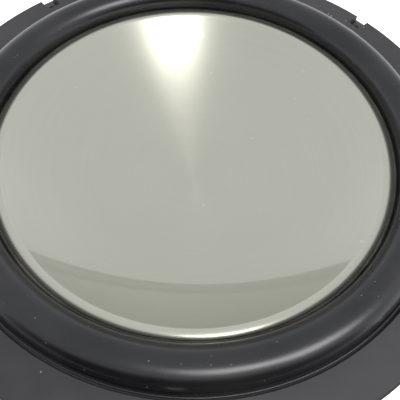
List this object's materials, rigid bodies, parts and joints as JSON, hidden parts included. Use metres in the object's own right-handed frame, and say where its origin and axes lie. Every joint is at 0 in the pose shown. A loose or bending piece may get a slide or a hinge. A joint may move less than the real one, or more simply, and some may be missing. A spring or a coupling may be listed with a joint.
{
  "type": "car subwoofer speaker",
  "caption": "Round car subwoofer with a concave metallic dish, a rubber half-roll surround, a pressed steel basket and a ferrite motor.",
  "frame": {"origin": "centre of the motor's back face", "axes": "+Z along the speaker's axis, out of its front; +Y towards the wire terminals"},
  "size_m": [0.315, 0.315, 0.1536],
  "materials": {
    "frame_paint": "satin black powder coat",
    "trim_plastic": "matte moulded black",
    "roll_rubber": "satin black butyl rubber",
    "spider_cloth": "resin-dipped woven cloth",
    "motor_steel": "zinc-plated steel",
    "ferrite": "sintered ferrite",
    "screw_steel": "blackened screws",
    "terminal_plastic": "moulded black",
    "contact_brass": "plated brass",
    "spring_steel": "drawn spring wire",
    "button_red": "glossy red",
    "button_black": "glossy black",
    "tinsel": "braided copper tinsel",
    "dish_film": "clear gloss over a spun metallic film",
    "glue": "dusty adhesive",
    "cone_paper": "black pressed pulp",
    "neck_adhesive": "amber adhesive",
    "former_film": "polyimide film",
    "copper": "enamelled copper wire"
  },
  "bodies": {
    "frame": {"basket": "frame_paint", "trim_ring": "trim_plastic", "surround": "roll_rubber", "spider": "spider_cloth", "top_plate": "motor_steel", "magnet": "ferrite", "yoke": "motor_steel", "basket_screws": "screw_steel", "terminal_block": "terminal_plastic", "terminal_screws": "screw_steel", "contact_red": "contact_brass", "contact_black": "contact_brass", "button_spring_red": "spring_steel", "button_spring_black": "spring_steel", "tinsel_lead_red": "tinsel", "tinsel_lead_black": "tinsel"},
    "cone_assembly": {"dish": "dish_film", "dish_glue_bead": "glue", "cone": "cone_paper", "cone_eyelets": "contact_brass", "neck_glue": "neck_adhesive", "coil_former": "former_film", "voice_coil": "copper"},
    "push_button_red": {"push_button_red": "button_red"},
    "push_button_black": {"push_button_black": "button_black"}
  },
  "joints": [
    {"name": "cone_travel", "type": "slide", "parent": "frame", "child": "cone_assembly", "axis": [0, 0, 1], "range_m": [-0.01, 0.01], "stiffness_N_per_m": 6400, "deforming": ["surround", "spider", "tinsel_lead_red", "tinsel_lead_black"]},
    {"name": "red_button_press", "type": "slide", "parent": "frame", "child": "push_button_red", "axis": [0, -1, 0], "range_m": [0, 0.0035], "stiffness_N_per_m": 1200, "springref_m": -0.001, "deforming": ["button_spring_red"]},
    {"name": "black_button_press", "type": "slide", "parent": "frame", "child": "push_button_black", "axis": [0, -1, 0], "range_m": [0, 0.0035], "stiffness_N_per_m": 1200, "springref_m": -0.001, "deforming": ["button_spring_black"]}
  ]
}
